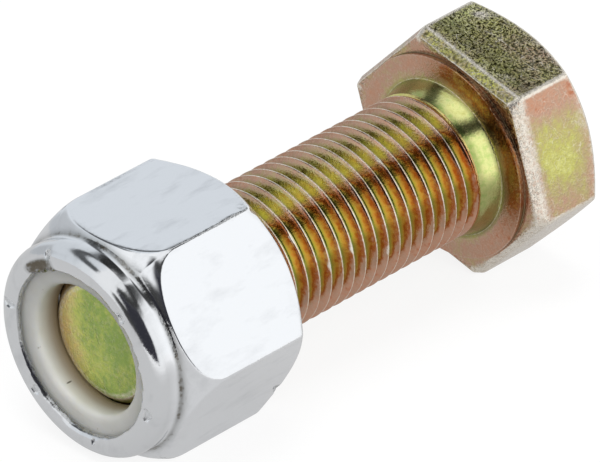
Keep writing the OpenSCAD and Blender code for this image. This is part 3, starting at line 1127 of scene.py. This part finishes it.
# %% [markdown]
# Bright metal shows what stands round it, so the studio matters as much as the plating. A white room
# alone leaves the nut a blank shape. Small shiny things are photographed in a tent of white cloth with
# a dark opening for the camera, and that opening and the dark gaps round the top lamp are what draw the
# streaks on the collar and along the thread. The room comes first: it is white to the camera and a
# softer fill to everything else.

# %% White room
room = bpy.data.worlds.new("white_room")
room.use_nodes = True
room.node_tree.nodes.clear()
tree = room.node_tree
shown = grow(tree, "ShaderNodeBackground", Color=(1, 1, 1, 1), Strength=1.0)
fill = grow(tree, "ShaderNodeBackground", Color=(1, 1, 1, 1), Strength=0.55)
either = grow(tree, "ShaderNodeMixShader", i0=seen_ray(tree), i1=fill.outputs[0], i2=shown.outputs[0])
grow(tree, "ShaderNodeOutputWorld", Surface=either.outputs[0])
bpy.context.scene.world = room
print("room:", room.name)

# %% [markdown]
# The tent's brightness is written as patches on a sphere. Each patch has a middle and a half width in
# compass degrees, a low and a high edge in degrees of height, the softness of its border and its colour.
# A brighter patch stands beside the camera, darker ones are the cloth behind, and the last five are the
# dark gaps and the opening.

# %% Tent brightness
TENT_CLOTH = (0.955, 0.965, 0.97)
TENT_PATCHES = [
    (270, 62, -20, 80, 30, (0.72, 0.755, 0.79)),
    (111, 21, -12, 50, 10, (1.034, 1.045, 1.05)),
    (286, 22, -6, 20, 16, (0.52, 0.54, 0.56)),
    (90, 75, 44.5, 65, 11, (0.05, 0.05, 0.05)),
    (280, 58, 42, 61, 9, (0.10, 0.105, 0.11)),
    (200, 22, 36, 62, 8, (0.03, 0.03, 0.03)),
    (36, 42, -12, 26, 10, (0.06, 0.06, 0.06)),
    (47, 33, -12, 49, 10, (0.04, 0.04, 0.05)),
]


def tent_glow(around, up):
    """Brightness of the tent at a compass angle about the part and a height angle, in degrees."""
    glow = np.broadcast_to(TENT_CLOTH, (*np.shape(around), 3))
    for middle, half, low, high, soft, level in TENT_PATCHES:
        inside = (half - np.abs(turn_between(around, middle)), up - low, high - up)
        share = math.prod(fade(depth / soft + 0.5) for depth in inside)
        glow = glow + (np.array(level) - glow) * share[..., None]
    return glow


print("patches on the tent:", len(TENT_PATCHES))

# %% [markdown]
# The tent itself is a dome round the part that only reflections can see, so it neither lights the floor
# nor hides the part from the camera. Its brightness is stored on its points, as the film is on the bolt.

# %% Tent
TENT_R = 450
TENT_STEP = 3
tent_turns, tent_heights = np.arange(0, 360, TENT_STEP), np.arange(-8, 89, TENT_STEP)
tent_around, tent_up = np.meshgrid(tent_turns, tent_heights)
rings, posts = tent_up.shape
wide, high = np.radians(tent_around), np.radians(tent_up)
tent_points = np.stack([np.cos(high) * np.cos(wide), np.cos(high) * np.sin(wide), np.sin(high)], -1)
tent_faces = []
for k in range((rings - 1) * posts):
    beside = k + 1 if (k + 1) % posts else k + 1 - posts
    tent_faces.append((k, beside, beside + posts, k + posts))
tent_faces.append(tuple(range((rings - 1) * posts, rings * posts)))
tent_mesh = bpy.data.meshes.new("studio_tent")
tent_mesh.from_pydata((tent_points * TENT_R * MM).reshape(-1, 3).tolist(), [], tent_faces)
glow_layer = tent_mesh.attributes.new("glow", "FLOAT_COLOR", "POINT")
tent_colours = np.concatenate([tent_glow(tent_around, tent_up), np.ones((rings, posts, 1))], -1)
glow_layer.data.foreach_set("color", tent_colours.ravel().astype(np.float32))

tent = bpy.data.objects.new("studio_tent", tent_mesh)
bpy.context.scene.collection.objects.link(tent)
cloth, tree = new_finish("tent_cloth")
cloth.cycles.emission_sampling = "NONE"
glow_in = grow(tree, "ShaderNodeAttribute", {"attribute_name": "glow"}).outputs["Color"]
put_on(tent, cloth, grow(tree, "ShaderNodeEmission", Color=glow_in, Strength=1.0))
for rays in ("camera", "diffuse", "shadow", "transmission"):
    setattr(tent, "visible_" + rays, False)
print("tent faces:", len(tent_faces))

# %% [markdown]
# Two soft lamps give the nylon and the floor their light and a direction: a large one from the right
# and front, and a weaker one overhead. They are wide, so the shadow stays soft.

# %% Lamps


def soft_lamp(name, place, aim, size, power):
    """Square soft lamp that shines from place towards aim, mm."""
    lamp = bpy.data.lights.new(name, "AREA")
    lamp.shape = "SQUARE"
    lamp.size = size * MM
    lamp.energy = power
    made = bpy.data.objects.new(name, lamp)
    bpy.context.scene.collection.objects.link(made)
    made.location = Vector(place) * MM
    made.rotation_euler = (Vector(aim) - Vector(place)).to_track_quat("-Z", "Y").to_euler()
    made.visible_glossy = False
    made.visible_camera = False
    return made


soft_lamp("right_softbox", (200, 700, 500), (15, 0, 0), 600, 4.0)
soft_lamp("top_softbox", (0, -100, 900), (15, 0, 0), 700, 4.0)
